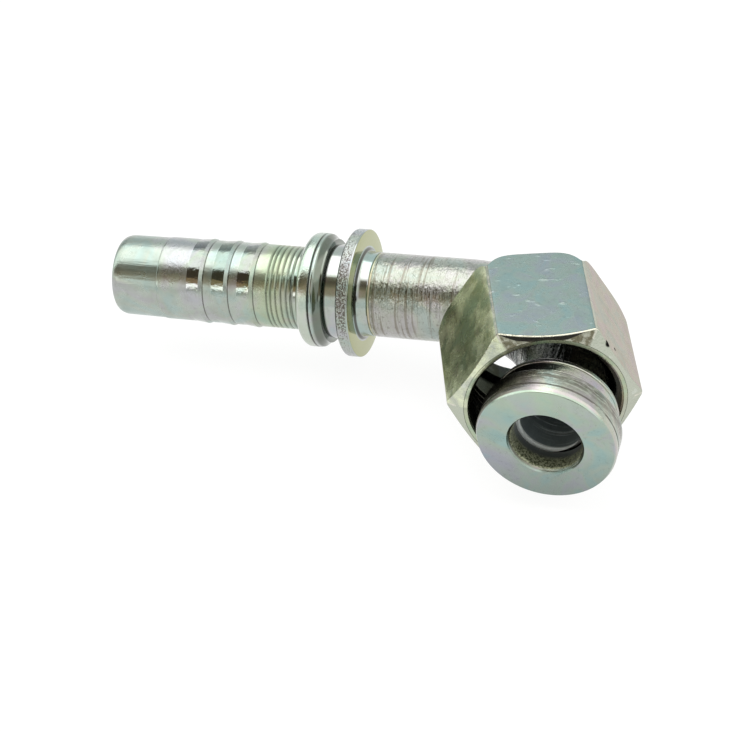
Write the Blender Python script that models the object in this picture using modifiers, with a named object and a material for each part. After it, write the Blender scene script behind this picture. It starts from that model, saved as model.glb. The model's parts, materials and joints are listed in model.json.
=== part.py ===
"""Ninety degree hydraulic hose end: barbed hose insert, elbow tube, flat-seat sleeve and swivel nut.

The frame's X axis runs along the hose insert and its Y axis along the nose. The hose end
points to -X, the seat points to -Y, and the bend lies flat. Both centrelines meet at the
bend corner, the point that every station below is measured from.
"""

import math

import bmesh
import bpy
from mathutils import Matrix, Vector

MM = 0.001
GAP = 0.3 * MM
SEGMENTS = 48

# Stations along the hose insert, measured from the bend corner.
INSERT_END = 73.0 * MM
INSERT_TIP_START = 65.3 * MM
FIRST_BARB = 58.5 * MM
BARB_PITCH = 4.06 * MM
BARB_COUNT = 3
BARB_RAMP = 2.0 * MM
BARB_DROP = 0.5 * MM
COLLAR_1_REAR = 42.5 * MM
COLLAR_1_FRONT = 39.2 * MM
COLLAR_2_REAR = 35.8 * MM
COLLAR_2_FRONT = 33.8 * MM
HUB_END = 31.9 * MM

# Radii of the hose insert.
INSERT_RADIUS = 6.3 * MM
TIP_RADIUS = 6.2 * MM
INSERT_FACE_RADIUS = 5.4 * MM
BARB_RADIUS = 6.5 * MM
COLLAR_1_RADIUS = 8.65 * MM
NECK_RADIUS = 7.1 * MM
COLLAR_2_RADIUS = 9.65 * MM
COLLAR_EDGE = 0.5 * MM
BORE_RADIUS = 4.5 * MM

# Elbow tube.
TUBE_RADIUS = 6.35 * MM
BEND_RADIUS = 18.0 * MM
SPIGOT_RADIUS = 5.3 * MM
SPIGOT_LENGTH = 6.0 * MM
BRAZE_WIDTH = 0.5 * MM

# Seat sleeve.
SEAT_FACE = 28.9 * MM
SLEEVE_REAR = 20.6 * MM
SLEEVE_RADIUS = 9.9 * MM
SLEEVE_CHAMFER = 0.3 * MM
FLANGE_REAR = 24.4 * MM
SLEEVE_HUB_RADIUS = 8.7 * MM
SLEEVE_SOCKET_DEPTH = 4.4 * MM
SEAT_BORE_RADIUS = 5.0 * MM
FILLET_RADIUS = 7.7 * MM
FILLET_LENGTH = 1.0 * MM

# Swivel nut. Its mouth centre and its tilt put it where it rests, slid back on the bend.
NUT_FLATS = 24.0 * MM
NUT_LENGTH = 18.9 * MM
NUT_MOUTH_RADIUS = 10.95 * MM
NUT_THREAD_RADIUS = 10.1 * MM
NUT_THREAD_DEPTH = 11.5 * MM
NUT_RELIEF_RADIUS = 10.5 * MM
NUT_REAR_WALL = 3.0 * MM
NUT_REAR_RADIUS = 9.65 * MM
NUT_FRONT_LAND = 11.5 * MM
NUT_FRONT_SLOPE = 0.6
NUT_REAR_LAND = 11.8 * MM
NUT_REAR_SLOPE = 1.45
NUT_MOUTH_CENTRE = Vector((-1.45, -21.5, 0.8)) * MM
NUT_TILT = math.radians(18.8)
NUT_ROLL = math.radians(-5.6)

COLLECTION = "hydraulic_hose_end"


def clear_scene():
    """Start from an empty scene."""
    for old in list(bpy.data.objects):
        bpy.data.objects.remove(old, do_unlink=True)


def make_collection(name):
    """A collection linked to the scene."""
    collection = bpy.data.collections.new(name)
    bpy.context.scene.collection.children.link(collection)
    return collection


def metal(name, colour, roughness):
    """A plain metal material."""
    material = bpy.data.materials.new(name)
    material.use_nodes = True
    shader = material.node_tree.nodes["Principled BSDF"]
    shader.inputs["Base Color"].default_value = (*colour, 1.0)
    shader.inputs["Metallic"].default_value = 1.0
    shader.inputs["Roughness"].default_value = roughness
    return material


def place(obj, location, axis):
    """Put an object's origin at a point and its local Z along an axis, with local X level."""
    forward = Vector(axis).normalized()
    side = Vector((0.0, 0.0, 1.0)).cross(forward).normalized()
    turn = Matrix((side, forward.cross(side), forward)).transposed()
    obj.matrix_world = Matrix.Translation(location) @ turn.to_4x4()


def smooth(obj):
    """Shade the round faces smooth and keep the edges crisp."""
    obj.data.shade_smooth()
    obj.data.set_sharp_from_angle(angle=math.radians(30.0))


def turned(name, profile, collection, segments=SEGMENTS):
    """A ring turned about local Z from a closed (radius, height) profile."""
    mesh = bpy.data.meshes.new(name)
    points = bmesh.new()
    verts = [points.verts.new((radius, 0.0, height)) for radius, height in profile]
    for here, following in zip(verts, verts[1:] + verts[:1]):
        points.edges.new((here, following))
    points.to_mesh(mesh)
    points.free()
    obj = bpy.data.objects.new(name, mesh)
    collection.objects.link(obj)
    screw = obj.modifiers.new("turn", "SCREW")
    screw.axis = "Z"
    screw.steps = segments
    screw.render_steps = segments
    screw.use_merge_vertices = True
    screw.merge_threshold = 0.00001
    screw.use_smooth_shade = True
    return obj


def swept(name, points, radius, collection):
    """A round bar along a centreline, as a welded mesh."""
    curve = bpy.data.curves.new(name, "CURVE")
    curve.dimensions = "3D"
    curve.bevel_depth = radius
    curve.bevel_resolution = 6
    curve.use_fill_caps = True
    spline = curve.splines.new("POLY")
    spline.points.add(len(points) - 1)
    for slot, point in zip(spline.points, points):
        slot.co = (*point, 1.0)
    path = bpy.data.objects.new(name + "_path", curve)
    bpy.context.scene.collection.objects.link(path)
    bpy.context.view_layer.update()
    graph = bpy.context.evaluated_depsgraph_get()
    mesh = bpy.data.meshes.new_from_object(path.evaluated_get(graph))
    weld = bmesh.new()
    weld.from_mesh(mesh)
    bmesh.ops.remove_doubles(weld, verts=weld.verts, dist=0.00001)
    weld.to_mesh(mesh)
    weld.free()
    obj = bpy.data.objects.new(name, mesh)
    obj.matrix_world = path.matrix_world.copy()
    collection.objects.link(obj)
    bpy.data.objects.remove(path, do_unlink=True)
    return obj


def boolean(obj, cutter, operation):
    """Cut or intersect an object with a hidden cutter."""
    cutter.hide_render = True
    cutter.display_type = "WIRE"
    modifier = obj.modifiers.new(operation.lower() + "_" + cutter.name, "BOOLEAN")
    modifier.operation = operation
    modifier.object = cutter


def barb_profile():
    """Outer points of the three hose barbs, from the free end towards the collars."""
    points = []
    for index in range(BARB_COUNT):
        crest = FIRST_BARB - index * BARB_PITCH
        points.append((INSERT_RADIUS, crest + BARB_RAMP))
        points.append((BARB_RADIUS, crest))
        points.append((INSERT_RADIUS, crest - BARB_DROP))
    return points


def make_insert(parts):
    """The barbed hose insert with its two crimp collars and its tube socket."""
    edge = COLLAR_EDGE
    socket = SPIGOT_RADIUS + GAP
    socket_end = HUB_END + SPIGOT_LENGTH
    profile = [
        (BORE_RADIUS, INSERT_END),
        (INSERT_FACE_RADIUS, INSERT_END),
        (0.5 * (INSERT_FACE_RADIUS + TIP_RADIUS) + 0.1 * MM, INSERT_END - 0.4 * MM),
        (TIP_RADIUS, INSERT_END - 1.5 * MM),
        (TIP_RADIUS, INSERT_TIP_START + 0.3 * MM),
        (INSERT_RADIUS, INSERT_TIP_START),
        *barb_profile(),
        (INSERT_RADIUS, COLLAR_1_REAR + 0.4 * MM),
        (INSERT_RADIUS + 0.4 * MM, COLLAR_1_REAR),
        (COLLAR_1_RADIUS - 1.2 * edge, COLLAR_1_REAR),
        (COLLAR_1_RADIUS, COLLAR_1_REAR - edge),
        (COLLAR_1_RADIUS, COLLAR_1_FRONT + edge),
        (COLLAR_1_RADIUS - edge, COLLAR_1_FRONT),
        (NECK_RADIUS, COLLAR_1_FRONT - 0.4 * MM),
        (NECK_RADIUS, COLLAR_2_REAR),
        (COLLAR_2_RADIUS - edge, COLLAR_2_REAR),
        (COLLAR_2_RADIUS, COLLAR_2_REAR - edge),
        (COLLAR_2_RADIUS, COLLAR_2_FRONT + 0.2 * MM),
        (COLLAR_2_RADIUS - 0.2 * MM, COLLAR_2_FRONT),
        (TUBE_RADIUS + 0.3 * MM, COLLAR_2_FRONT),
        (TUBE_RADIUS, COLLAR_2_FRONT - 0.4 * MM),
        (TUBE_RADIUS, HUB_END),
        (socket, HUB_END),
        (socket, socket_end),
        (BORE_RADIUS, socket_end),
    ]
    insert = turned("hose_insert", profile, parts)
    place(insert, (0.0, 0.0, 0.0), (-1.0, 0.0, 0.0))
    insert.data.materials.append(metal("zinc_turned", (0.66, 0.70, 0.66), 0.22))
    return insert


def bend_points(start, end):
    """The elbow's centreline from a hose-side station to a nose-side station."""
    steps = 14
    points = [Vector((-start, 0.0, 0.0))]
    for index in range(steps + 1):
        angle = math.radians(90.0) * index / steps
        across = BEND_RADIUS * (1.0 - math.sin(angle))
        along = BEND_RADIUS * (1.0 - math.cos(angle))
        points.append(Vector((-across, -along, 0.0)))
    points.append(Vector((0.0, -end, 0.0)))
    return points


def make_tube(parts, cutters):
    """The bent tube, bored through, with a turned-down spigot for the insert's socket."""
    tube_start = HUB_END - BRAZE_WIDTH - 2.0 * GAP
    spigot_end = HUB_END + SPIGOT_LENGTH - GAP
    tube_end = SLEEVE_REAR + SLEEVE_SOCKET_DEPTH - GAP
    tube = swept("elbow_tube", bend_points(spigot_end, tube_end), TUBE_RADIUS, parts)
    bore = swept("elbow_bore", bend_points(spigot_end + MM, tube_end + MM), BORE_RADIUS, cutters)
    sleeve = [
        (TUBE_RADIUS + MM, spigot_end + MM),
        (TUBE_RADIUS + MM, tube_start),
        (SPIGOT_RADIUS, tube_start),
        (SPIGOT_RADIUS, spigot_end + MM),
    ]
    spigot = turned("spigot_cutter", sleeve, cutters)
    place(spigot, (0.0, 0.0, 0.0), (-1.0, 0.0, 0.0))
    boolean(tube, bore, "DIFFERENCE")
    boolean(tube, spigot, "DIFFERENCE")
    tube.data.materials.append(metal("zinc_drawn", (0.62, 0.64, 0.60), 0.35))
    return tube


def make_insert_braze(parts):
    """The braze line between the insert's hub and the tube's shoulder."""
    front = HUB_END - GAP - BRAZE_WIDTH
    outer = TUBE_RADIUS - 0.1 * MM
    inner = SPIGOT_RADIUS + GAP
    profile = [
        (outer, HUB_END - GAP),
        (outer, front),
        (inner, front),
        (inner, HUB_END - GAP),
    ]
    ring = turned("insert_braze_ring", profile, parts)
    place(ring, (0.0, 0.0, 0.0), (-1.0, 0.0, 0.0))
    ring.data.materials.append(metal("braze_alloy", (0.56, 0.54, 0.44), 0.4))
    return ring


def make_sleeve(parts):
    """The flat-seat sleeve: a flange at the seat, a hub behind it, the flow bore and a socket."""
    socket = TUBE_RADIUS + GAP
    shoulder = SLEEVE_REAR + SLEEVE_SOCKET_DEPTH
    profile = [
        (SEAT_BORE_RADIUS, SEAT_FACE),
        (SLEEVE_RADIUS - SLEEVE_CHAMFER, SEAT_FACE),
        (SLEEVE_RADIUS, SEAT_FACE - SLEEVE_CHAMFER),
        (SLEEVE_RADIUS, FLANGE_REAR + SLEEVE_CHAMFER),
        (SLEEVE_RADIUS - SLEEVE_CHAMFER, FLANGE_REAR),
        (SLEEVE_HUB_RADIUS, FLANGE_REAR),
        (SLEEVE_HUB_RADIUS, SLEEVE_REAR + SLEEVE_CHAMFER),
        (SLEEVE_HUB_RADIUS - SLEEVE_CHAMFER, SLEEVE_REAR),
        (socket, SLEEVE_REAR),
        (socket, shoulder),
        (SEAT_BORE_RADIUS, shoulder),
    ]
    sleeve = turned("seat_sleeve", profile, parts)
    place(sleeve, (0.0, 0.0, 0.0), (0.0, -1.0, 0.0))
    sleeve.data.materials.append(metal("zinc_seat", (0.70, 0.74, 0.72), 0.3))
    return sleeve


def make_sleeve_braze(parts):
    """The braze fillet behind the sleeve, round the tube."""
    inner = TUBE_RADIUS + GAP
    front = SLEEVE_REAR - GAP
    profile = [
        (FILLET_RADIUS, front),
        (inner + 0.2 * MM, front - FILLET_LENGTH),
        (inner, front - FILLET_LENGTH),
        (inner, front),
    ]
    ring = turned("sleeve_braze_ring", profile, parts)
    place(ring, (0.0, 0.0, 0.0), (0.0, -1.0, 0.0))
    ring.data.materials.append(metal("braze_alloy_fillet", (0.56, 0.54, 0.44), 0.4))
    return ring


def nut_axis():
    """The nut's axis, pointing out of its mouth."""
    return Vector((math.sin(NUT_TILT), -math.cos(NUT_TILT), 0.0))


def nut_envelope():
    """Turned outline that chamfers both ends of the hexagon, with its mouth at height 0."""
    outside = NUT_FLATS / math.sqrt(3.0) + 0.5 * MM
    return [
        (0.0, 0.0),
        (NUT_FRONT_LAND, 0.0),
        (outside, -NUT_FRONT_SLOPE * (outside - NUT_FRONT_LAND)),
        (outside, -NUT_LENGTH + NUT_REAR_SLOPE * (outside - NUT_REAR_LAND)),
        (NUT_REAR_LAND, -NUT_LENGTH),
        (0.0, -NUT_LENGTH),
    ]


def nut_bore():
    """Countersunk mouth, thread bore, relief and the hole in the rear wall."""
    wall = -NUT_LENGTH + NUT_REAR_WALL
    countersink = NUT_MOUTH_RADIUS - NUT_THREAD_RADIUS
    relief = NUT_RELIEF_RADIUS - NUT_THREAD_RADIUS
    return [
        (0.0, MM),
        (NUT_MOUTH_RADIUS + MM, MM),
        (NUT_MOUTH_RADIUS, 0.0),
        (NUT_THREAD_RADIUS, -countersink),
        (NUT_THREAD_RADIUS, -NUT_THREAD_DEPTH),
        (NUT_RELIEF_RADIUS, -NUT_THREAD_DEPTH - relief),
        (NUT_RELIEF_RADIUS, wall),
        (NUT_REAR_RADIUS, wall),
        (NUT_REAR_RADIUS, -NUT_LENGTH - MM),
        (0.0, -NUT_LENGTH - MM),
    ]


def make_nut(parts, cutters):
    """The hexagonal swivel nut, its origin at its mouth centre and its local Z out of the mouth."""
    mesh = bpy.data.meshes.new("swivel_nut")
    prism = bmesh.new()
    corner = NUT_FLATS / math.sqrt(3.0)
    flat_up = Matrix.Rotation(math.radians(30.0), 4, "Z")
    bmesh.ops.create_cone(
        prism,
        cap_ends=True,
        segments=6,
        radius1=corner,
        radius2=corner,
        depth=NUT_LENGTH,
        matrix=flat_up @ Matrix.Translation((0.0, 0.0, -0.5 * NUT_LENGTH)),
    )
    prism.to_mesh(mesh)
    prism.free()
    nut = bpy.data.objects.new("swivel_nut", mesh)
    parts.objects.link(nut)
    envelope = turned("nut_envelope", nut_envelope(), cutters, 2 * SEGMENTS)
    bore = turned("nut_bore", nut_bore(), cutters)
    boolean(nut, envelope, "INTERSECT")
    boolean(nut, bore, "DIFFERENCE")
    for obj in (nut, envelope, bore):
        place(obj, NUT_MOUTH_CENTRE, nut_axis())
        obj.matrix_world = obj.matrix_world @ Matrix.Rotation(NUT_ROLL, 4, "Z")
    nut.data.materials.append(metal("zinc_hex", (0.58, 0.62, 0.60), 0.38))
    return nut


def rest_on_floor(parts, cutters):
    """Move the whole object so that the middle of its box's underside is the frame's origin."""
    bpy.context.view_layer.update()
    graph = bpy.context.evaluated_depsgraph_get()
    corners = []
    for obj in parts.objects:
        shape = obj.evaluated_get(graph).to_mesh()
        corners += [obj.matrix_world @ vert.co for vert in shape.vertices]
    low = Vector(min(corner[i] for corner in corners) for i in range(3))
    high = Vector(max(corner[i] for corner in corners) for i in range(3))
    anchor = bpy.data.objects.new("bend_corner", None)
    bpy.context.scene.collection.objects.link(anchor)
    for obj in [*parts.objects, *cutters.objects]:
        obj.parent = anchor
    anchor.location = (-0.5 * (low.x + high.x), -0.5 * (low.y + high.y), -low.z)


def main():
    """Build every piece of the hose end."""
    clear_scene()
    parts = make_collection(COLLECTION)
    cutters = make_collection("cutters")
    pieces = [
        make_insert(parts),
        make_insert_braze(parts),
        make_tube(parts, cutters),
        make_sleeve(parts),
        make_sleeve_braze(parts),
        make_nut(parts, cutters),
    ]
    for piece in pieces:
        smooth(piece)
    rest_on_floor(parts, cutters)


main()
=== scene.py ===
import json
import math

import bmesh
import bpy
from mathutils import Matrix, Vector


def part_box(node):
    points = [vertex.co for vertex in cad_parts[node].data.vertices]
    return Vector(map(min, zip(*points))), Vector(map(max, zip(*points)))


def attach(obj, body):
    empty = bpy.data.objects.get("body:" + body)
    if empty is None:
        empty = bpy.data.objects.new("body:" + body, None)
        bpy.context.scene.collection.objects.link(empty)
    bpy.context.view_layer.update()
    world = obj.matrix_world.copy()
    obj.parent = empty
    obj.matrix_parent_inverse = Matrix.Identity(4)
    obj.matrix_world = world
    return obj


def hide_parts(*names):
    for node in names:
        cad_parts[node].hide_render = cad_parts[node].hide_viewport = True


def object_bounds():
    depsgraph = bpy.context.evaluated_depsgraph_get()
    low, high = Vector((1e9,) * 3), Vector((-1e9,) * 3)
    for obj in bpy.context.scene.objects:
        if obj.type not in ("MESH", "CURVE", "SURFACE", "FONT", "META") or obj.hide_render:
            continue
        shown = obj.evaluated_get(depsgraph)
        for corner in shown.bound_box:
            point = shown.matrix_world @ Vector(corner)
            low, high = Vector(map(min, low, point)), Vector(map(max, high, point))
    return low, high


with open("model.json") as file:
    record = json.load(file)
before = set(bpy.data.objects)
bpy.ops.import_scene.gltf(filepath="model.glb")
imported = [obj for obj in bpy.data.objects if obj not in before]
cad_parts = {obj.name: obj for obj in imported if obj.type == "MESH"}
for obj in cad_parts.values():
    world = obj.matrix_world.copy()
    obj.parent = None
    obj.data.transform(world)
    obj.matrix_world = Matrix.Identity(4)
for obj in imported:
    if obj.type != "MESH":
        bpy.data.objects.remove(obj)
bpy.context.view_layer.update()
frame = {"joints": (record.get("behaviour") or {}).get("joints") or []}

MM = 0.001
TAU = 2.0 * math.pi
UP = Vector((0.0, 0.0, 1.0))

# ---------------------------------------------------------------------------
# Places, read from the frame
# ---------------------------------------------------------------------------
INSERT_LOW, INSERT_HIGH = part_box("hose_insert")
SLEEVE_LOW, SLEEVE_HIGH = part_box("seat_sleeve")
CORNER = Vector(
    (
        0.5 * (SLEEVE_LOW.x + SLEEVE_HIGH.x),
        0.5 * (INSERT_LOW.y + INSERT_HIGH.y),
        0.5 * (INSERT_LOW.z + INSERT_HIGH.z),
    )
)
HOSE_WAY = Vector((-1.0, 0.0, 0.0))
SEAT_WAY = Vector((0.0, -1.0, 0.0))
INSERT_END = CORNER.x - INSERT_LOW.x
HUB_END = CORNER.x - INSERT_HIGH.x
SEAT_FACE = CORNER.y - SLEEVE_LOW.y
SLEEVE_REAR = CORNER.y - SLEEVE_HIGH.y
NUT_JOINT = next(joint for joint in frame["joints"] if joint["name"] == "nut_spin")
NUT_MOUTH = Vector(NUT_JOINT["pos_m"])
NUT_WAY = Vector(NUT_JOINT["axis"]).normalized()

# ---------------------------------------------------------------------------
# Sizes shared with the solids. Stations run along a leg from the bend's corner.
# ---------------------------------------------------------------------------
BORE_RADIUS = 4.5 * MM
TUBE_RADIUS = 6.35 * MM
BEND_RADIUS = 18.0 * MM
LINING_RADIUS = 5.3 * MM
# Painted highlight on the bore at the tube's end: where it fades in along Y
TUBE_END_HIGHLIGHT = (-24.40 * MM, -24.55 * MM)

TIP_RADIUS = 6.2 * MM
TIP_START = 65.3 * MM
LAND_RADIUS = 6.3 * MM
LANDS_START = 44.0 * MM
FACE_RADIUS = 5.4 * MM
BARB_RADIUS = 6.5 * MM
BARB_RAMP = 2.0 * MM
BARB_DROP = 0.5 * MM
BARBS = [58.5 * MM, 54.44 * MM, 50.38 * MM]
GROOVES = [47.65 * MM, 47.0 * MM, 46.2 * MM, 45.35 * MM, 44.5 * MM, 43.7 * MM]
NECK_RADIUS = 7.1 * MM

# Each collar: the station of its face towards the hose, of its other face, and its radius
COLLAR_1 = (42.5 * MM, 39.2 * MM, 8.65 * MM)
COLLAR_2 = (35.8 * MM, 33.8 * MM, 9.65 * MM)
COLLAR_1_GROOVE = COLLAR_1[1] + 1.15 * MM

SOCKET_DEPTH = 4.4 * MM
SLEEVE_RADIUS = 9.9 * MM
SLEEVE_HUB_RADIUS = 8.7 * MM
FLANGE_REAR = 24.4 * MM
SEAT_BORE_RADIUS = 5.0 * MM

NUT_ROLL = math.radians(-5.6)
NUT_FLATS = 24.0 * MM
NUT_LENGTH = 18.9 * MM
NUT_MOUTH_RADIUS = 10.95 * MM
NUT_FRONT_LAND = 11.5 * MM
NUT_FRONT_SLOPE = 0.6
NUT_REAR_WALL = 3.0 * MM
NUT_REAR_RADIUS = 9.65 * MM
NUT_REAR_LAND = 11.8 * MM
NUT_REAR_DROP = 2.7 * MM
NUT_RELIEF_RADIUS = 10.5 * MM
NUT_CORNER_BREAK = 0.16 * MM
THREAD_LENGTH = 11.5 * MM
THREAD_MINOR = 10.1 * MM
THREAD_DEPTH = 0.55 * MM
THREAD_PITCH = 1.5 * MM
THREAD_ENTRY = 0.75 * MM

# Dark lines along the insert's grooves and collar corners, and painted shade at the foot of each barb:
# station, half width, strength
DARK_LINES_AND_SHADE = [
    *[(groove, 0.13 * MM, 0.55) for groove in GROOVES],
    *[(barb - BARB_DROP - 0.13 * MM, 0.10 * MM, 0.75) for barb in BARBS],
    (COLLAR_1[0] + 0.12 * MM, 0.12 * MM, 0.7),
    (COLLAR_1_GROOVE, 0.12 * MM, 0.85),
    (COLLAR_1[1] - 1.0 * MM, 0.10 * MM, 0.6),
    (COLLAR_2[1] - 0.2 * MM, 0.12 * MM, 0.85),
]
# Shares of a turn round the nut at which one flat ends and the next begins
FLAT_SHARES = [0.1667, 0.3333, 0.5, 0.6667, 0.8333]
# Two small pits by the nut's front edge: place on the nut, radius
NUT_PITS = [
    ((8.38 * MM, 9.50 * MM, -1.00 * MM), 0.56 * MM),
    ((9.65 * MM, 7.29 * MM, -2.30 * MM), 0.28 * MM),
]

LATHE_STEPS = 192
TUBE_STEPS = 128
NUT_STEPS = 360
THREAD_ROWS = 240


# ---------------------------------------------------------------------------
# Camera and light
# ---------------------------------------------------------------------------
CAMERA_AZIMUTH = math.radians(21.88)
CAMERA_ELEVATION = math.radians(40.17)
CAMERA_ROLL = math.radians(-9.34)
CAMERA_DISTANCE = 0.3240
CAMERA_FIELD_PIXELS = 732.0
CAMERA_FOCAL_PIXELS = 2200.0
CAMERA_AIM = CORNER + Vector((-30.80, -12.42, -3.46)) * MM
SENSOR_WIDTH = 36.0

# The room round the part: angle in degrees from the back horizon over the top, and its light.
# The near room is seen in plain turned surfaces, the far one in surfaces that lean to the hose end.
ROOM_STRENGTH = 3.0
NEAR_ROOM = [
    (0.0, (0.95, 1.02, 1.02)),
    (40.0, (0.98, 1.08, 1.08)),
    (44.0, (1.40, 1.42, 1.42)),
    (48.0, (3.00, 3.00, 3.00)),
    (97.0, (3.00, 3.00, 3.00)),
    (105.0, (1.60, 1.58, 1.50)),
    (108.0, (0.28, 0.25, 0.18)),
    (120.0, (0.15, 0.13, 0.09)),
    (131.0, (0.30, 0.25, 0.17)),
    (135.0, (0.48, 0.40, 0.28)),
    (152.0, (0.55, 0.48, 0.37)),
    (158.0, (0.98, 0.99, 0.95)),
    (180.0, (0.92, 0.94, 0.92)),
]
FAR_ROOM = [
    (0.0, (0.70, 0.75, 0.75)),
    (40.0, (0.30, 0.32, 0.32)),
    (50.0, (1.90, 1.98, 1.86)),
    (104.0, (1.90, 1.98, 1.86)),
    (107.0, (0.08, 0.065, 0.040)),
    (136.0, (0.08, 0.065, 0.040)),
    (139.0, (0.42, 0.30, 0.16)),
    (152.0, (0.48, 0.35, 0.20)),
    (156.0, (2.60, 2.60, 2.55)),
    (164.0, (2.50, 2.50, 2.45)),
    (166.0, (0.24, 0.23, 0.18)),
    (169.0, (0.30, 0.29, 0.23)),
    (172.0, (0.90, 0.93, 0.90)),
    (180.0, (0.90, 0.93, 0.90)),
]
SIDE_ROOM = [
    (0.0, (0.85, 0.90, 0.88)),
    (44.0, (0.90, 0.96, 0.94)),
    (60.0, (1.75, 1.75, 1.70)),
    (110.0, (1.75, 1.75, 1.70)),
    (120.0, (0.95, 0.97, 0.90)),
    (180.0, (0.88, 0.91, 0.88)),
]
# Directions along X between which one room gives way to the next
FAR_TO_NEAR = (-0.42, -0.36)
NEAR_TO_SIDE = (0.02, 0.12)
# The dark spot where the camera stands: its direction, the cosines at its edge, and its light
SPOT_WAY = Vector((0.35, -0.86, 0.36)).normalized()
SPOT_EDGE = (0.975, 0.988)
SPOT_LIGHT = (0.014, 0.010, 0.007, 1.0)

FLOOR_SIZE = 1.5
FLOOR_GAP = 0.02 * MM
FLOOR_TONE = (0.12, 0.12, 0.12, 1.0)
FLOOR_GLOW = 0.91


def make_camera():
    """The photograph's viewpoint: above the part, to the seat's side, and slightly rolled."""
    flat = math.cos(CAMERA_ELEVATION)
    back = Vector(
        (
            flat * math.sin(CAMERA_AZIMUTH),
            -flat * math.cos(CAMERA_AZIMUTH),
            math.sin(CAMERA_ELEVATION),
        )
    )
    level = UP.cross(back).normalized()
    upright = back.cross(level)
    right = math.cos(CAMERA_ROLL) * level + math.sin(CAMERA_ROLL) * upright
    up = back.cross(right)
    data = bpy.data.cameras.new("camera")
    data.sensor_width = SENSOR_WIDTH
    data.lens = CAMERA_FOCAL_PIXELS * data.sensor_width / CAMERA_FIELD_PIXELS
    data.clip_start = 0.01
    camera = bpy.data.objects.new("camera", data)
    turn = Matrix((right, up, back)).transposed().to_4x4()
    camera.matrix_world = Matrix.Translation(CAMERA_AIM + CAMERA_DISTANCE * back) @ turn
    bpy.context.scene.collection.objects.link(camera)
    bpy.context.scene.camera = camera


def room_ramp(tree, socket, stops):
    """The light of a room by its angle."""
    room = tree.nodes.new("ShaderNodeValToRGB")
    band = room.color_ramp
    while len(band.elements) < len(stops):
        band.elements.new(0.5)
    for element, (angle, colour) in zip(band.elements, stops):
        element.position = angle / 180.0
        element.color = (*[value / ROOM_STRENGTH for value in colour], 1.0)
    tree.links.new(socket, room.inputs[0])
    return room.outputs["Color"]


def room_mix(tree, value, edge, first, second):
    """Go from one light to another as a value crosses an edge."""
    share = tree.nodes.new("ShaderNodeMapRange")
    share.inputs["From Min"].default_value = edge[0]
    share.inputs["From Max"].default_value = edge[1]
    tree.links.new(value, share.inputs["Value"])
    mix = tree.nodes.new("ShaderNodeMix")
    mix.data_type = "RGBA"
    tree.links.new(share.outputs[0], mix.inputs["Factor"])
    for light, socket in ((first, mix.inputs["A"]), (second, mix.inputs["B"])):
        if isinstance(light, tuple):
            socket.default_value = light
        else:
            tree.links.new(light, socket)
    return mix.outputs["Result"]


def make_world():
    """A long soft box overhead, a grey room behind, and a dark, then tan, wall by the camera."""
    world = bpy.data.worlds.new("studio")
    bpy.context.scene.world = world
    world.use_nodes = True
    tree = world.node_tree
    background = tree.nodes["Background"]
    place = tree.nodes.new("ShaderNodeTexCoord")
    split = tree.nodes.new("ShaderNodeSeparateXYZ")
    tree.links.new(place.outputs["Generated"], split.inputs[0])
    turn = tree.nodes.new("ShaderNodeMath")
    turn.operation = "ARCTAN2"
    tree.links.new(split.outputs["Z"], turn.inputs[0])
    tree.links.new(split.outputs["Y"], turn.inputs[1])
    share = tree.nodes.new("ShaderNodeMapRange")
    share.inputs["From Min"].default_value = 0.0
    share.inputs["From Max"].default_value = math.pi
    tree.links.new(turn.outputs[0], share.inputs["Value"])
    near = room_ramp(tree, share.outputs[0], NEAR_ROOM)
    far = room_ramp(tree, share.outputs[0], FAR_ROOM)
    side = room_ramp(tree, share.outputs[0], SIDE_ROOM)
    light = room_mix(tree, split.outputs["X"], FAR_TO_NEAR, far, near)
    light = room_mix(tree, split.outputs["X"], NEAR_TO_SIDE, light, side)
    facing = tree.nodes.new("ShaderNodeVectorMath")
    facing.operation = "DOT_PRODUCT"
    tree.links.new(place.outputs["Generated"], facing.inputs[0])
    facing.inputs[1].default_value = SPOT_WAY
    light = room_mix(tree, facing.outputs["Value"], SPOT_EDGE, light, SPOT_LIGHT)
    tree.links.new(light, background.inputs["Color"])
    background.inputs["Strength"].default_value = ROOM_STRENGTH


def make_floor():
    """A plain pale floor just under the part."""
    mesh = bpy.data.meshes.new("floor")
    points = bmesh.new()
    bmesh.ops.create_grid(points, x_segments=1, y_segments=1, size=FLOOR_SIZE)
    points.to_mesh(mesh)
    points.free()
    floor = bpy.data.objects.new("floor", mesh)
    floor.location = (0.0, 0.0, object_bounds()[0][2] - FLOOR_GAP)
    bpy.context.scene.collection.objects.link(floor)
    material = bpy.data.materials.new("floor_white")
    material.use_nodes = True
    shader = material.node_tree.nodes["Principled BSDF"]
    shader.inputs["Base Color"].default_value = FLOOR_TONE
    shader.inputs["Emission Color"].default_value = (1.0, 1.0, 1.0, 1.0)
    shader.inputs["Emission Strength"].default_value = FLOOR_GLOW
    shader.inputs["Roughness"].default_value = 0.8
    shader.inputs["Specular IOR Level"].default_value = 0.1
    mesh.materials.append(material)


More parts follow.
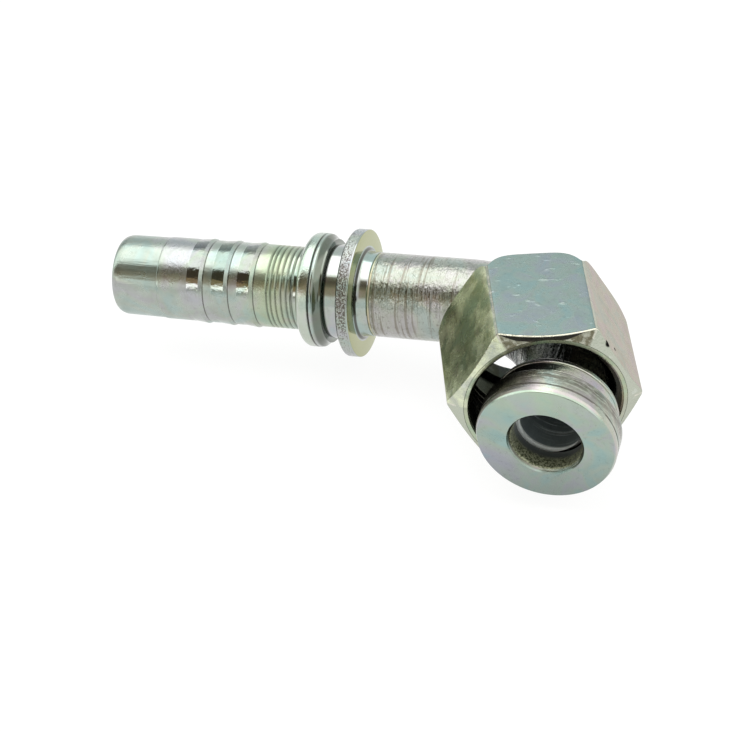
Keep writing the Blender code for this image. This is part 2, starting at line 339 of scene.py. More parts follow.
# ---------------------------------------------------------------------------
# Materials
# ---------------------------------------------------------------------------
class Graph:
    """Short calls for a material's nodes. Colours are RGB triples and lengths are metres."""

    def __init__(self, name):
        self.material = bpy.data.materials.new(name)
        self.material.use_nodes = True
        self.nodes = self.material.node_tree.nodes
        self.links = self.material.node_tree.links
        self.shader = self.nodes["Principled BSDF"]
        coordinates = self.nodes.new("ShaderNodeTexCoord")
        self.position = coordinates.outputs["Object"]

    def plug(self, value, socket):
        """Link a socket, or set a plain value."""
        if isinstance(value, bpy.types.NodeSocket):
            self.links.new(value, socket)
        elif isinstance(value, tuple) and socket.type == "RGBA":
            socket.default_value = (*value, 1.0)
        else:
            socket.default_value = value

    def noise(self, scale, detail, roughness, where=None, distortion=0.0):
        node = self.nodes.new("ShaderNodeTexNoise")
        node.inputs["Scale"].default_value = scale
        node.inputs["Detail"].default_value = detail
        node.inputs["Roughness"].default_value = roughness
        node.inputs["Distortion"].default_value = distortion
        self.links.new(where or self.position, node.inputs["Vector"])
        return node.outputs["Fac"]

    def streaks(self, scale, detail, roughness):
        """Noise with its own scale along each local axis."""
        node = self.nodes.new("ShaderNodeMapping")
        node.inputs["Scale"].default_value = scale
        self.links.new(self.position, node.inputs["Vector"])
        return self.noise(1.0, detail, roughness, where=node.outputs[0])

    def remap(self, value, low, high, to_low=0.0, to_high=1.0):
        node = self.nodes.new("ShaderNodeMapRange")
        node.inputs["From Min"].default_value = low
        node.inputs["From Max"].default_value = high
        node.inputs["To Min"].default_value = to_low
        node.inputs["To Max"].default_value = to_high
        self.links.new(value, node.inputs["Value"])
        return node.outputs[0]

    def ramp(self, value, stops):
        node = self.nodes.new("ShaderNodeValToRGB")
        band = node.color_ramp
        while len(band.elements) < len(stops):
            band.elements.new(0.5)
        for element, (where, colour) in zip(band.elements, stops):
            element.position = where
            element.color = (*colour, 1.0)
        self.links.new(value, node.inputs[0])
        return node.outputs["Color"]

    def mix(self, amount, first, second, mode="MIX"):
        node = self.nodes.new("ShaderNodeMix")
        node.data_type = "RGBA"
        node.blend_type = mode
        self.plug(amount, node.inputs["Factor"])
        self.plug(first, node.inputs["A"])
        self.plug(second, node.inputs["B"])
        return node.outputs["Result"]

    def math(self, operation, first, second=0.0):
        node = self.nodes.new("ShaderNodeMath")
        node.operation = operation
        self.plug(first, node.inputs[0])
        self.plug(second, node.inputs[1])
        return node.outputs[0]

    def times(self, first, second):
        return self.math("MULTIPLY", first, second)

    def plus(self, first, second):
        return self.math("ADD", first, second)

    def minus(self, first, second):
        return self.math("SUBTRACT", first, second)

    def tinted(self, colour, tint):
        """A colour multiplied by a tint."""
        return self.mix(1.0, colour, tint, "MULTIPLY")

    def stain(self, colour, mask, amount, tone):
        """Cover a colour with a tone where a mask says."""
        return self.mix(self.times(mask, amount), colour, tone)

    def axis(self, letter):
        node = self.nodes.new("ShaderNodeSeparateXYZ")
        self.links.new(self.position, node.inputs[0])
        return node.outputs[letter]

    def hypotenuse(self, first, second):
        squares = self.plus(self.times(first, first), self.times(second, second))
        return self.math("SQRT", squares)

    def reach(self):
        """Distance from local Z."""
        return self.hypotenuse(self.axis("X"), self.axis("Y"))

    def turn(self):
        """Angle round local Z, from 0 to 1, starting at local minus X."""
        angle = self.math("ARCTAN2", self.axis("Y"), self.axis("X"))
        return self.remap(angle, -math.pi, math.pi)

    def distance(self, place):
        node = self.nodes.new("ShaderNodeVectorMath")
        node.operation = "DISTANCE"
        self.links.new(self.position, node.inputs[0])
        node.inputs[1].default_value = place
        return node.outputs["Value"]

    def beyond(self, radius):
        """1 outside a radius about local Z."""
        return self.remap(self.reach(), radius - 0.03 * MM, radius + 0.03 * MM)

    def within(self, radius):
        """1 inside a radius about local Z."""
        return self.remap(self.reach(), radius, radius + 0.05 * MM, 1.0, 0.0)

    def between(self, value, low, high, soft):
        """1 between two values."""
        rise = self.remap(value, low - soft, low + soft)
        fall = self.remap(value, high - soft, high + soft, 1.0, 0.0)
        return self.times(rise, fall)

    def flats(self, value, stops):
        """Flat colours, one from each stop to the next."""
        colour = self.ramp(value, stops)
        colour.node.color_ramp.interpolation = "CONSTANT"
        return colour

    def bump(self, height, strength, distance, before=None):
        node = self.nodes.new("ShaderNodeBump")
        node.inputs["Strength"].default_value = strength
        node.inputs["Distance"].default_value = distance
        self.links.new(height, node.inputs["Height"])
        if before is not None:
            self.links.new(before, node.inputs["Normal"])
        return node.outputs["Normal"]


def film_tint(graph, scale):
    """The faint interference colours of a clear chromate film, in soft patches."""
    film = graph.noise(scale, 3.0, 0.55, distortion=0.8)
    return graph.ramp(
        film,
        [
            (0.30, (0.78, 1.00, 0.99)),
            (0.42, (0.88, 1.02, 0.96)),
            (0.50, (1.02, 1.03, 0.90)),
            (0.57, (1.06, 0.96, 0.99)),
            (0.64, (1.03, 0.90, 1.02)),
            (0.75, (0.88, 0.96, 1.06)),
        ],
    )


def plate(graph, tone, roughness, specks, grain, blotch=0.6, tint_scale=150.0, stain=0.3):
    """Clear zinc plate over steel: film colour, stains, dark specks and pits. Returns the parts."""
    colour = graph.mix(blotch, tone, film_tint(graph, tint_scale), "MULTIPLY")
    cloud = graph.noise(330.0, 5.0, 0.65, distortion=0.4)
    dull = graph.tinted(colour, (0.62, 0.60, 0.54))
    colour = graph.mix(graph.remap(cloud, 0.45, 0.72, 0.0, stain), colour, dull)
    dots = graph.noise(2300.0, 2.0, 0.5)
    colour = graph.mix(graph.remap(dots, 0.60, 0.70, 0.0, specks), colour, (0.10, 0.09, 0.07))
    rough = graph.remap(cloud, 0.3, 0.75, roughness * 0.75, roughness * 1.4)
    pits = graph.noise(1700.0, 4.0, 0.7)
    normal = graph.bump(pits, grain, 0.03 * MM)
    return colour, rough, normal


def finish_plate(graph, colour, rough, normal, metal=1.0):
    """Wire the plate's parts into the shader."""
    graph.plug(colour, graph.shader.inputs["Base Color"])
    graph.plug(metal, graph.shader.inputs["Metallic"])
    graph.plug(rough, graph.shader.inputs["Roughness"])
    graph.plug(normal, graph.shader.inputs["Normal"])
    return graph.material


def painted_shade_inside(graph, colour, radius, share):
    """Painted shade inside a radius about local Z: the colour darkened by a share."""
    return graph.mix(graph.within(radius), colour, graph.tinted(colour, (share, share, share)))


def zinc_turned():
    """The insert: bright turned plate, satin lands and tip, fine rings, rough collar rims."""
    graph = Graph("zinc_turned")
    colour, rough, normal = plate(
        graph, (0.395, 0.435, 0.42), 0.11, blotch=0.6, specks=0.12, grain=0.10, stain=0.35
    )
    station = graph.axis("Z")

    # Satin lands and tip; the barbs' ramps between them stay bright
    lands = graph.between(station, LANDS_START, TIP_START, 0.2 * MM)
    tip = graph.remap(station, TIP_START, TIP_START + 0.1 * MM)
    ramps = 0.0
    for barb in BARBS:
        ramps = graph.plus(ramps, graph.between(station, barb, barb + BARB_RAMP, 0.04 * MM))
    satin = graph.times(graph.plus(lands, tip), graph.minus(1.0, ramps))
    rough = graph.plus(rough, graph.times(satin, 0.17))
    mottled = graph.noise(1500.0, 3.0, 0.6)
    normal = graph.bump(graph.times(mottled, lands), 0.8, 0.05 * MM, normal)
    drawn = graph.streaks((1700.0, 1700.0, 220.0), 3.0, 0.6)
    normal = graph.bump(graph.times(drawn, tip), 0.9, 0.05 * MM, normal)
    rings = graph.streaks((90.0, 90.0, 3600.0), 4.0, 0.75)
    normal = graph.bump(rings, 0.12, 0.03 * MM, normal)

    # Rough rims: the second collar's is worn dark, with a painted dark reflection making it darkest at
    # mid-height
    rear_1, front_1, radius_1 = COLLAR_1
    rear_2, front_2, radius_2 = COLLAR_2
    rim = graph.between(station, front_2 + 0.3 * MM, rear_2 - 0.2 * MM, 0.1 * MM)
    rim = graph.times(rim, graph.beyond(radius_2 - 0.25 * MM))
    first_rim = graph.between(station, front_1 + 0.8 * MM, rear_1 - 0.1 * MM, 0.2 * MM)
    first_rim = graph.times(first_rim, graph.beyond(radius_1 - 0.25 * MM))
    sawn = graph.noise(3900.0, 3.0, 0.65)
    rough_rims = graph.plus(rim, graph.times(first_rim, 0.3))
    normal = graph.bump(graph.times(sawn, rough_rims), 1.0, 0.13 * MM, normal)
    # Painted dark reflection: the rim is darkened most at mid-height, where it faces the camera's side
    mid_height_reflection = graph.between(graph.turn(), 0.50, 0.70, 0.05)
    wear_and_reflection = graph.minus(sawn, graph.times(mid_height_reflection, 0.12))
    wear_and_reflection = graph.times(graph.remap(wear_and_reflection, 0.38, 0.43, 1.0, 0.0), rim)
    colour = graph.stain(colour, wear_and_reflection, 0.80, (0.07, 0.05, 0.035))

    # Painted light on the shoulder, a yellower grooved stretch, painted shade in the hollow and a
    # straw-coloured washer face
    # Painted light: the first collar's shoulder is made paler
    lit_shoulder = graph.between(station, front_1 + 1.3 * MM, rear_1 + 0.1 * MM, 0.1 * MM)
    colour = graph.stain(colour, lit_shoulder, 0.25, (0.75, 0.82, 0.66))
    grooved = graph.between(station, LANDS_START, LANDS_START + 6.0 * MM, 2.0 * MM)
    colour = graph.mix(grooved, colour, graph.tinted(colour, (1.03, 1.05, 0.84)))
    # Painted shade in the hollow between the first collar and the neck
    shaded_hollow = graph.between(station, front_1 - 0.75 * MM, front_1 + 0.55 * MM, 0.15 * MM)
    colour = graph.stain(colour, shaded_hollow, 0.75, (0.10, 0.115, 0.085))
    # Dark lines in the grooves and corners, and painted shade at the barbs' feet
    for place, half, amount in DARK_LINES_AND_SHADE:
        line = graph.between(station, place - half, place + half, 0.4 * half)
        colour = graph.stain(colour, line, amount, (0.06, 0.055, 0.045))
    washer = graph.between(station, front_2 - 0.8 * MM, front_2 + 0.04 * MM, 0.02 * MM)
    washer = graph.times(washer, graph.beyond(NECK_RADIUS + 0.1 * MM))
    colour = graph.stain(colour, washer, 0.92, (0.37, 0.385, 0.19))
    # Painted shade in the insert's bore
    colour = painted_shade_inside(graph, colour, BORE_RADIUS + 0.1 * MM, 0.12)
    return finish_plate(graph, colour, rough, normal)


def bore_lining(graph):
    """1 on the tube's bore through the bend and the nose, by distance from the bend's centreline."""
    across = graph.plus(graph.axis("Y"), BEND_RADIUS)
    along = graph.plus(graph.axis("Z"), BEND_RADIUS)
    outward = graph.minus(graph.hypotenuse(across, along), BEND_RADIUS)
    depth = graph.hypotenuse(outward, graph.axis("X"))
    lining = graph.remap(depth, LINING_RADIUS, LINING_RADIUS + 0.1 * MM, 1.0, 0.0)
    return graph.times(lining, graph.math("GREATER_THAN", graph.axis("Z"), -BEND_RADIUS))


def zinc_drawn():
    """The tube: duller plate with strong turning lines and flakes, and blue-grey oxide inside."""
    graph = Graph("zinc_drawn")
    colour, rough, normal = plate(
        graph, (0.385, 0.40, 0.375), 0.10, blotch=0.5, specks=0.45, grain=0.40, stain=0.5
    )
    fine = graph.streaks((200.0, 200.0, 3000.0), 4.0, 0.8)
    normal = graph.bump(fine, 1.0, 0.10 * MM, normal)
    coarse = graph.streaks((70.0, 70.0, 1300.0), 2.0, 0.6)
    normal = graph.bump(coarse, 1.0, 0.20 * MM, normal)
    flakes = graph.streaks((1300.0, 1300.0, 2100.0), 3.0, 0.6)
    normal = graph.bump(flakes, 1.0, 0.09 * MM, normal)
    colour = graph.mix(graph.remap(coarse, 0.60, 0.66, 0.0, 0.6), colour, (0.17, 0.15, 0.11))

    lining = bore_lining(graph)
    scored = graph.remap(graph.streaks((60.0, 1500.0, 60.0), 3.0, 0.7), 0.55, 0.66)
    oxide = graph.mix(scored, (0.20, 0.235, 0.25), (0.75, 0.80, 0.82))
    # Painted highlight: the bore's last stretch at the tube's end is painted bright
    tube_end_highlight = graph.remap(graph.axis("Y"), *TUBE_END_HIGHLIGHT)
    oxide = graph.mix(tube_end_highlight, oxide, (0.80, 0.84, 0.84))
    colour = graph.mix(lining, colour, oxide)
    rough = graph.plus(rough, graph.times(lining, 0.25))
    metal = graph.remap(lining, 0.0, 1.0, 1.0, 0.25)
    return finish_plate(graph, colour, rough, normal, metal)


def zinc_seat():
    """The sleeve: faced seat with soft film colours, sooty turned side, olive crumbs in the bore."""
    graph = Graph("zinc_seat")
    colour, rough, normal = plate(
        graph, (0.345, 0.405, 0.40), 0.22, blotch=1.0, tint_scale=140.0, specks=0.15, grain=0.15,
        stain=0.2,
    )
    station = graph.axis("Z")
    height = graph.axis("Y")
    side = graph.between(station, 0.0, SEAT_FACE - 0.3 * MM, 0.1 * MM)
    face = graph.minus(1.0, side)
    rings = graph.streaks((130.0, 130.0, 3000.0), 4.0, 0.75)
    normal = graph.bump(graph.times(rings, side), 0.7, 0.05 * MM, normal)

    # The face is greener above, with painted shade below
    crown = graph.times(graph.remap(height, 4.0 * MM, 9.5 * MM), face)
    colour = graph.stain(colour, crown, 0.7, (0.41, 0.52, 0.385))
    lower_shade = graph.times(graph.remap(height, -0.5 * MM, -8.5 * MM), face)
    colour = graph.stain(colour, lower_shade, 0.45, (0.12, 0.145, 0.15))

    # The side is rosier, with sooty streaks and painted shade at its rear and on its left flank, and a
    # dark line round it
    colour = graph.mix(side, colour, graph.tinted(colour, (1.32, 1.15, 1.12)))
    rear = graph.between(station, FLANGE_REAR - 0.1 * MM, FLANGE_REAR + 2.2 * MM, 1.0 * MM)
    shaded_flank = graph.times(graph.remap(graph.axis("X"), 1.0 * MM, -5.0 * MM), side)
    streak = graph.streaks((420.0, 420.0, 2600.0), 4.0, 0.75)
    soot_and_shade = graph.times(graph.remap(streak, 0.36, 0.54), graph.math("MAXIMUM", rear, shaded_flank))
    colour = graph.stain(colour, soot_and_shade, 0.85, (0.11, 0.10, 0.075))
    # Painted shade over the left flank
    colour = graph.stain(colour, shaded_flank, 0.7, (0.13, 0.125, 0.10))
    seam = graph.between(station, SEAT_FACE - 1.7 * MM, SEAT_FACE - 1.4 * MM, 0.06 * MM)
    seam = graph.times(graph.times(seam, side), graph.remap(streak, 0.3, 0.5))
    colour = graph.stain(colour, seam, 0.8, (0.06, 0.055, 0.045))

    # The bore is dull, with olive crumbs near its lip and painted shade, a dark grey, deeper in
    inside = graph.within(SEAT_BORE_RADIUS + 0.1 * MM)
    crumbs = graph.remap(graph.noise(3600.0, 3.0, 0.6), 0.44, 0.58)
    olive = graph.mix(crumbs, (0.09, 0.10, 0.055), (0.42, 0.44, 0.30))
    lip = graph.remap(station, SEAT_FACE - 3.0 * MM, SEAT_FACE - 2.2 * MM)
    colour = graph.mix(inside, colour, graph.mix(lip, (0.10, 0.11, 0.11), olive))
    rough = graph.plus(rough, graph.times(inside, 0.12))
    metal = graph.remap(inside, 0.0, 1.0, 1.0, 0.45)
    return finish_plate(graph, colour, rough, normal, metal)


def nut_bevel(graph, station, colour, normal, top):
    """The rough front bevel: brown scale, with a painted dark reflection as a black line under the top
    flat and a painted highlight on its edge.
    """
    fall = graph.times(graph.minus(graph.reach(), NUT_FRONT_LAND), -NUT_FRONT_SLOPE)
    bevel = graph.remap(graph.minus(station, fall), -0.14 * MM, -0.06 * MM)
    bevel = graph.times(bevel, graph.beyond(NUT_FRONT_LAND - 0.03 * MM))
    scale = graph.streaks((900.0, 900.0, 1600.0), 3.0, 0.7)
    height = graph.axis("Y")
    offset = graph.math("ABSOLUTE", graph.plus(graph.axis("X"), 0.8 * MM))
    flat = 0.5 * NUT_FLATS
    limit = graph.remap(offset, 3.5 * MM, 6.8 * MM, flat - 0.68 * MM, flat)
    # Painted dark reflection: a black line on the bevel under the top flat
    dark_reflection_line = graph.times(top, graph.math("GREATER_THAN", height, limit))
    # Painted highlight along the top flat's front edge
    highlight_edge = graph.times(top, graph.math("GREATER_THAN", height, flat - 0.14 * MM))
    tone = graph.mix(graph.remap(scale, 0.42, 0.60), (0.17, 0.155, 0.10), (0.46, 0.46, 0.38))
    tone = graph.mix(top, (0.47, 0.50, 0.42), tone)
    tone = graph.mix(dark_reflection_line, tone, (0.020, 0.015, 0.011))
    tone = graph.mix(highlight_edge, tone, (0.88, 0.86, 0.72))
    colour = graph.stain(colour, bevel, 0.95, tone)
    return colour, graph.bump(graph.times(scale, bevel), 1.0, 0.15 * MM, normal)


def zinc_hex():
    """The nut: each flat has its own painted tone for the light and shade it reflects; painted shade in
    the bore, and the bevel is rough.
    """
    graph = Graph("zinc_hex")
    turn = graph.turn()
    station = graph.axis("Z")
    # Painted light and shade: one tone for each flat, standing in for what it reflects
    tone = graph.flats(
        turn,
        [
            (0.0, (0.33, 0.37, 0.30)),
            (FLAT_SHARES[0], (0.42, 0.50, 0.48)),
            (FLAT_SHARES[1], (0.50, 0.50, 0.46)),
            (FLAT_SHARES[2], (0.62, 0.59, 0.545)),
            (FLAT_SHARES[3], (0.255, 0.315, 0.315)),
            (FLAT_SHARES[4], (0.40, 0.44, 0.315)),
        ],
    )
    front = graph.remap(station, -0.12 * MM, -0.04 * MM)
    tone = graph.mix(front, tone, (0.43, 0.475, 0.365))
    colour, rough, normal = plate(
        graph, tone, 0.25, blotch=0.55, tint_scale=260.0, specks=0.15, grain=0.22, stain=0.4
    )
    top = graph.between(turn, FLAT_SHARES[3], FLAT_SHARES[4], 0.002)
    colour, normal = nut_bevel(graph, station, colour, normal, top)

    # Pale patches on the left flat, and a few bright chips anywhere
    left = graph.between(turn, FLAT_SHARES[4], 1.1, 0.004)
    patches = graph.remap(graph.noise(260.0, 5.0, 0.65, distortion=0.2), 0.43, 0.59)
    colour = graph.mix(left, colour, graph.mix(patches, colour, (0.70, 0.745, 0.535)))
    dents = graph.streaks((420.0, 420.0, 900.0), 2.0, 0.5)
    colour = graph.mix(graph.remap(dents, 0.68, 0.73, 0.0, 0.22), colour, (0.80, 0.84, 0.80))
    normal = graph.bump(graph.remap(dents, 0.62, 0.70), 0.35, 0.04 * MM, normal)

    # Worn edges between the flats
    sector = graph.math("FRACT", graph.times(turn, 6.0))
    from_middle = graph.math("ABSOLUTE", graph.minus(sector, 0.5))
    edge = graph.times(graph.remap(from_middle, 0.485, 0.494), graph.beyond(0.5 * NUT_FLATS + 0.5 * MM))
    nicks = graph.remap(graph.noise(1300.0, 3.0, 0.6), 0.40, 0.60, 0.25, 1.0)
    colour = graph.stain(colour, edge, nicks, (0.66, 0.64, 0.56))

    # The pits are painted black and don't shine: painted shade inside them
    pit_shades = 0.0
    for place, radius in NUT_PITS:
        pit_shade = graph.remap(graph.distance(place), radius * 0.8, radius * 1.1, 1.0, 0.0)
        colour = graph.mix(pit_shade, colour, (0.008, 0.008, 0.008))
        pit_shades = graph.math("MAXIMUM", pit_shades, pit_shade)
    graph.plug(0.0, graph.shader.inputs["Specular IOR Level"])
    graph.plug((0.62, 0.60, 0.57), graph.shader.inputs["Specular Tint"])
    # Painted shade in the nut's bore and thread
    colour = painted_shade_inside(graph, colour, THREAD_MINOR + THREAD_DEPTH + 0.03 * MM, 0.16)
    return finish_plate(graph, colour, rough, normal, graph.minus(1.0, pit_shades))


def braze_alloy():
    """Dull yellowish braze under thin plate."""
    graph = Graph("braze_alloy")
    colour, rough, normal = plate(graph, (0.50, 0.47, 0.36), 0.34, specks=0.4, grain=0.6)
    return finish_plate(graph, colour, rough, normal)


# ---------------------------------------------------------------------------
# Mesh helpers
# ---------------------------------------------------------------------------
def pointing(place, way):
    """A matrix at a place whose local Z runs along a direction and whose local X is level."""
    forward = Vector(way).normalized()
    side = UP.cross(forward).normalized()
    turn = Matrix((side, forward.cross(side), forward)).transposed().to_4x4()
    return Matrix.Translation(place) @ turn


def arc(centre, radius, start, end, steps):
    """Points along an arc in (radius, height); angles in degrees."""
    points = []
    for index in range(steps + 1):
        angle = math.radians(start + (end - start) * index / steps)
        points.append((centre[0] + radius * math.cos(angle), centre[1] + radius * math.sin(angle)))
    return points


def groove(centre, radius, width, depth):
    """A small round-bottomed groove in a cylinder."""
    half = 0.5 * width
    return [
        (radius, centre + half),
        (radius - 0.7 * depth, centre + 0.45 * half),
        (radius - depth, centre),
        (radius - 0.7 * depth, centre - 0.45 * half),
        (radius, centre - half),
    ]


def closed_mesh(name, rows):
    """A closed, outward-facing skin over equal rows of points; both directions wrap round."""
    mesh = bpy.data.meshes.new(name)
    work = bmesh.new()
    rings = [[work.verts.new(point) for point in row] for row in rows]
    count = len(rings[0])
    for here, following in zip(rings, rings[1:] + rings[:1]):
        for index in range(count):
            after = (index + 1) % count
            work.faces.new((here[index], here[after], following[after], following[index]))
    work.normal_update()
    if work.calc_volume(signed=True) < 0.0:
        bmesh.ops.reverse_faces(work, faces=work.faces)
    work.to_mesh(mesh)
    work.free()
    return mesh


def turned_row(angle, profile):
    """A profile of (radius, height) stood up at an angle about local Z."""
    return [(r * math.cos(angle), r * math.sin(angle), h) for r, h in profile]


def lathe(name, profile):
    """A ring turned about local Z. The profile runs down the outside and up the bore."""
    return closed_mesh(
        name, [turned_row(TAU * index / LATHE_STEPS, profile) for index in range(LATHE_STEPS)]
    )


def finish_mesh(mesh, body, node, material, place, sharp=28.0):
    """Wrap a mesh as a shaded piece that stands for a CAD node and rides on a body."""
    piece = bpy.data.objects.new(mesh.name, mesh)
    bpy.context.scene.collection.objects.link(piece)
    piece.matrix_world = place
    mesh.materials.append(material)
    mesh.shade_smooth()
    mesh.set_sharp_from_angle(angle=math.radians(sharp))
    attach(piece, body)
    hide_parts(node)


def keep_crisp(mesh, profile, crisp):
    """Give the rings at some profile points a sharp edge, however small their angle."""
    rows = {profile.index(point) for point in crisp}
    for edge in mesh.edges:
        first, second = (vertex % len(profile) for vertex in edge.vertices)
        if first == second and first in rows:
            edge.use_edge_sharp = True


# ---------------------------------------------------------------------------
# Hose insert
# ---------------------------------------------------------------------------
def insert_profile():
    """Outside from the free end to the hub, then back along the bore; and its crisp points."""
    points = [(BORE_RADIUS + 0.3 * MM, INSERT_END), (FACE_RADIUS, INSERT_END)]
    for index in range(1, 9):
        angle = 0.5 * math.pi * index / 8
        points.append(
            (
                FACE_RADIUS + (TIP_RADIUS - 0.05 * MM - FACE_RADIUS) * math.sin(angle),
                INSERT_END - 1.5 * MM * (1.0 - math.cos(angle)),
            )
        )
    crisp = [(TIP_RADIUS, TIP_START + 0.12 * MM), (LAND_RADIUS, TIP_START)]
    for barb in BARBS:
        crisp += [
            (LAND_RADIUS, barb + BARB_RAMP),
            (BARB_RADIUS, barb),
            (LAND_RADIUS - 0.05 * MM, barb - BARB_DROP),
            (LAND_RADIUS, barb - BARB_DROP - 0.15 * MM),
        ]
    points += crisp
    for centre in GROOVES:
        points += groove(centre, LAND_RADIUS, 0.5 * MM, 0.14 * MM)
    rear, front, radius = COLLAR_1
    points += [(LAND_RADIUS, rear + 0.35 * MM), (LAND_RADIUS + 0.1 * MM, rear + 0.1 * MM)]
    points += [(LAND_RADIUS + 0.35 * MM, rear)]
    points += arc((radius - 1.1 * MM, rear - 1.1 * MM), 1.1 * MM, 90.0, 0.0, 10)
    points += groove(COLLAR_1_GROOVE, radius, 0.36 * MM, 0.2 * MM)
    points += arc((radius - 0.55 * MM, front + 0.75 * MM), 0.5 * MM, 10.0, -50.0, 6)
    points += arc((radius - 0.05 * MM, front - 0.45 * MM), 0.75 * MM, 152.0, 188.0, 5)
    points += [(NECK_RADIUS - 0.3 * MM, front - 0.75 * MM), (NECK_RADIUS, front - 0.95 * MM)]
    rear, front, radius = COLLAR_2
    points += [(NECK_RADIUS, rear + 0.2 * MM), (NECK_RADIUS + 0.2 * MM, rear)]
    points += arc((radius - 0.45 * MM, rear - 0.45 * MM), 0.45 * MM, 90.0, 0.0, 6)
    points += arc((radius - 0.15 * MM, front + 0.15 * MM), 0.15 * MM, 0.0, -90.0, 4)
    points += [(TUBE_RADIUS + 0.75 * MM, front), (TUBE_RADIUS + 0.6 * MM, front - 0.1 * MM)]
    points += [(TUBE_RADIUS + 0.15 * MM, front - 0.35 * MM), (TUBE_RADIUS, front - 0.9 * MM)]
    points += [(TUBE_RADIUS, HUB_END + 0.08 * MM), (TUBE_RADIUS - 0.08 * MM, HUB_END)]
    points += [(BORE_RADIUS, HUB_END), (BORE_RADIUS, INSERT_END - 0.3 * MM)]
    return points, crisp


def make_insert():
    """The barbed insert with its two collars."""
    profile, crisp = insert_profile()
    mesh = lathe("hose_insert_detail", profile)
    place = pointing(CORNER, HOSE_WAY)
    finish_mesh(mesh, "stem", "hose_insert", zinc_turned(), place)
    keep_crisp(mesh, profile, crisp)


# ---------------------------------------------------------------------------
# Elbow tube
# ---------------------------------------------------------------------------
def tube_stations(start, end):
    """Centres, from the bend's corner, and directions along the tube from the hub to the sleeve."""
    stations = []
    straight = 24
    for index in range(straight):
        along = start + (BEND_RADIUS - start) * index / straight
        stations.append((HOSE_WAY * along, -HOSE_WAY))
    bend = 40
    for index in range(bend + 1):
        angle = 0.5 * math.pi * index / bend
        centre = HOSE_WAY * BEND_RADIUS * (1.0 - math.sin(angle))
        centre = centre + SEAT_WAY * BEND_RADIUS * (1.0 - math.cos(angle))
        way = -HOSE_WAY * math.cos(angle) + SEAT_WAY * math.sin(angle)
        stations.append((centre, way))
    stations.append((SEAT_WAY * end, SEAT_WAY))
    return stations


def make_tube():
    """The bent tube, open along its bore. Its local Z runs along world X, for its material."""
    gap = 0.3 * MM
    stations = tube_stations(HUB_END - 0.35 * MM, SLEEVE_REAR + SOCKET_DEPTH - gap)
    edge = 0.1 * MM
    first, first_way = stations[0]
    last, last_way = stations[-1]
    sections = [(first, first_way, TUBE_RADIUS - edge)]
    sections += [(first + edge * first_way, first_way, TUBE_RADIUS)]
    sections += [(centre, way, TUBE_RADIUS) for centre, way in stations[1:-1]]
    sections += [(last - edge * last_way, last_way, TUBE_RADIUS)]
    sections += [(last, last_way, TUBE_RADIUS - edge)]
    sections += [(centre, way, BORE_RADIUS) for centre, way in reversed(stations)]
    turn = Matrix.Rotation(math.radians(90.0), 4, "Y")
    to_local = turn.inverted()
    rows = []
    for centre, way, radius in sections:
        side = UP.cross(way)
        row = []
        for index in range(TUBE_STEPS):
            angle = TAU * index / TUBE_STEPS
            row.append(to_local @ (centre + radius * (math.cos(angle) * side + math.sin(angle) * UP)))
        rows.append(row)
    mesh = closed_mesh("elbow_tube_detail", rows)
    place = Matrix.Translation(CORNER) @ turn
    finish_mesh(mesh, "stem", "elbow_tube", zinc_drawn(), place)


# ---------------------------------------------------------------------------
# Sleeve and braze rings
# ---------------------------------------------------------------------------
def make_sleeve():
    """The flat-seat sleeve with its entry chamfer, its side groove, its hub and its socket."""
    socket = TUBE_RADIUS + 0.02 * MM
    lit_shoulder = SLEEVE_REAR + SOCKET_DEPTH
    hub = SLEEVE_HUB_RADIUS
    points = [(SEAT_BORE_RADIUS + 0.45 * MM, SEAT_FACE), (SLEEVE_RADIUS - 0.34 * MM, SEAT_FACE)]
    points += [(SLEEVE_RADIUS - 0.27 * MM, SEAT_FACE - 0.05 * MM)]
    points += [(SLEEVE_RADIUS - 0.02 * MM, SEAT_FACE - 0.60 * MM)]
    points += [(SLEEVE_RADIUS, SEAT_FACE - 0.68 * MM)]
    points += groove(SEAT_FACE - 1.5 * MM, SLEEVE_RADIUS, 0.25 * MM, 0.08 * MM)
    points += arc((SLEEVE_RADIUS - 0.25 * MM, FLANGE_REAR + 0.25 * MM), 0.25 * MM, 0.0, -90.0, 6)
    points += [(hub + 0.2 * MM, FLANGE_REAR), (hub, FLANGE_REAR - 0.2 * MM)]
    points += arc((hub, SLEEVE_REAR + 1.0 * MM), 0.22 * MM, 80.0, -80.0, 8)
    points += arc((hub - 0.4 * MM, SLEEVE_REAR + 0.4 * MM), 0.4 * MM, 0.0, -90.0, 6)
    points += [(socket, SLEEVE_REAR), (socket, lit_shoulder), (SEAT_BORE_RADIUS, lit_shoulder)]
    points += [(SEAT_BORE_RADIUS, SEAT_FACE - 0.75 * MM)]
    mesh = lathe("seat_sleeve_detail", points)
    place = pointing(CORNER, SEAT_WAY)
    finish_mesh(mesh, "stem", "seat_sleeve", zinc_seat(), place)


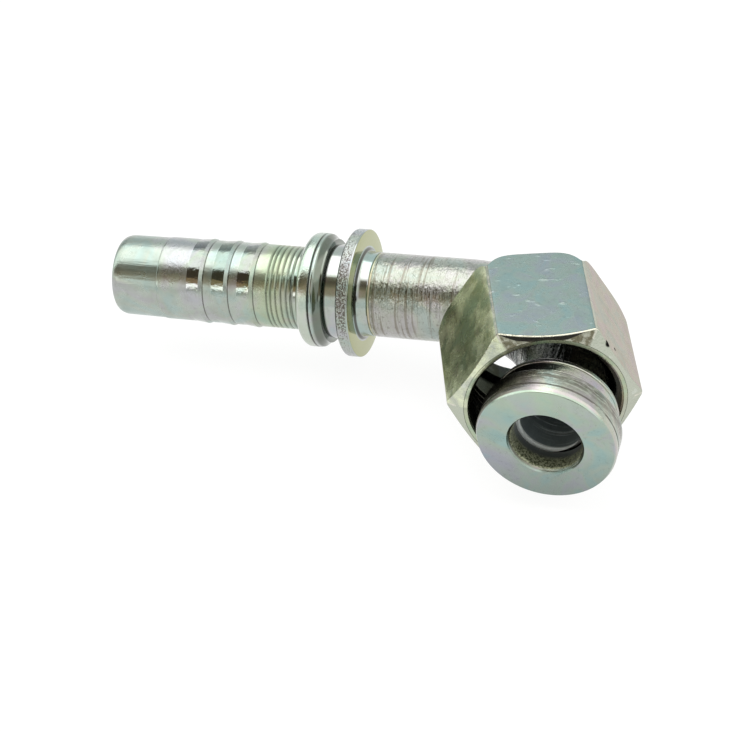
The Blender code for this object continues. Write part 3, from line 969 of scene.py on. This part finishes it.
def make_braze():
    """The braze line at the hub and the fillet behind the sleeve."""
    material = braze_alloy()
    top = TUBE_RADIUS - 0.08 * MM
    root = BORE_RADIUS + 0.8 * MM
    ring = [
        (top - 0.05 * MM, HUB_END - 0.02 * MM),
        (top, HUB_END - 0.12 * MM),
        (top, HUB_END - 0.22 * MM),
        (top - 0.05 * MM, HUB_END - 0.33 * MM),
        (root, HUB_END - 0.33 * MM),
        (root, HUB_END - 0.02 * MM),
    ]
    mesh = lathe("insert_braze_detail", ring)
    place = pointing(CORNER, HOSE_WAY)
    finish_mesh(mesh, "stem", "insert_braze_ring", material, place)
    inner = TUBE_RADIUS + 0.02 * MM
    rear = SLEEVE_REAR - 0.02 * MM
    reach = 1.3 * MM
    fillet = [(inner, rear)]
    for index in range(9):
        angle = 0.5 * math.pi * index / 8
        fillet.append((inner + reach * (1.0 - math.sin(angle)), rear - reach * (1.0 - math.cos(angle))))
    mesh = lathe("sleeve_braze_detail", fillet)
    place = pointing(CORNER, SEAT_WAY)
    finish_mesh(mesh, "stem", "sleeve_braze_ring", material, place)


# ---------------------------------------------------------------------------
# Swivel nut
# ---------------------------------------------------------------------------
def hex_reach(angle):
    """Distance from the nut's axis to its hexagon in a direction, with two flats level."""
    sector = math.radians(60.0)
    folded = (angle - math.radians(90.0) + 0.5 * sector) % sector - 0.5 * sector
    return 0.5 * NUT_FLATS / math.cos(folded)


def thread_profile(turn):
    """The thread from its inner end out to the mouth's countersink, at a share of a turn."""
    points = []
    flare = (NUT_MOUTH_RADIUS - THREAD_MINOR) / THREAD_ENTRY
    for row in range(THREAD_ROWS + 1):
        height = -THREAD_LENGTH + (THREAD_LENGTH - 0.02 * MM) * row / THREAD_ROWS
        phase = (height / THREAD_PITCH + turn) % 1.0
        wave = abs(2.0 * phase - 1.0)
        depth = THREAD_DEPTH * min(1.0, max(0.0, (wave - 0.12) / 0.72))
        mouth = NUT_MOUTH_RADIUS + (height + 0.02 * MM) * flare
        points.append((max(THREAD_MINOR + depth, mouth), height))
    return points


def nut_profile(turn):
    """Outside from the mouth to the rear, then back along the inside, at a share of a turn."""
    corner = NUT_FLATS / math.sqrt(3.0)
    reach = min(hex_reach(TAU * turn), corner - NUT_CORNER_BREAK)
    top = -NUT_FRONT_SLOPE * (reach - NUT_FRONT_LAND)
    share = (reach - NUT_REAR_LAND) / (corner - NUT_REAR_LAND)
    low = -NUT_LENGTH + 0.1 * MM + NUT_REAR_DROP * share**3
    wall = -NUT_LENGTH + NUT_REAR_WALL
    points = [
        (NUT_MOUTH_RADIUS, 0.0),
        (NUT_FRONT_LAND - 0.06 * MM, 0.0),
        (NUT_FRONT_LAND + 0.03 * MM, -0.02 * MM),
        (reach - 0.06 * MM, top + 0.04 * MM),
        (reach, top - 0.05 * MM),
        (reach, low + 0.05 * MM),
        (reach - 0.06 * MM, low - 0.07 * MM),
        (NUT_REAR_LAND + 0.03 * MM, -NUT_LENGTH + 0.05 * MM),
        (NUT_REAR_LAND - 0.05 * MM, -NUT_LENGTH),
        (NUT_REAR_RADIUS + 0.2 * MM, -NUT_LENGTH),
        (NUT_REAR_RADIUS, -NUT_LENGTH + 0.2 * MM),
        (NUT_REAR_RADIUS, wall),
        (NUT_RELIEF_RADIUS - 0.3 * MM, wall),
        (NUT_RELIEF_RADIUS, wall + 0.3 * MM),
        (NUT_RELIEF_RADIUS, -THREAD_LENGTH - 0.6 * MM),
    ]
    return points + thread_profile(turn)


def make_nut():
    """The hexagonal nut: worn corners, both chamfers, countersunk mouth and a helical thread."""
    turns = [index / NUT_STEPS for index in range(NUT_STEPS)]
    rows = [turned_row(TAU * turn, nut_profile(turn)) for turn in turns]
    mesh = closed_mesh("swivel_nut_detail", rows)
    place = pointing(NUT_MOUTH, NUT_WAY) @ Matrix.Rotation(NUT_ROLL, 4, "Z")
    finish_mesh(mesh, "nut", "swivel_nut", zinc_hex(), place, sharp=20.0)


# ---------------------------------------------------------------------------
# Scene
# ---------------------------------------------------------------------------
make_camera()
make_world()
make_insert()
make_tube()
make_sleeve()
make_braze()
make_nut()
make_floor()
bpy.context.scene.view_settings.view_transform = "Standard"
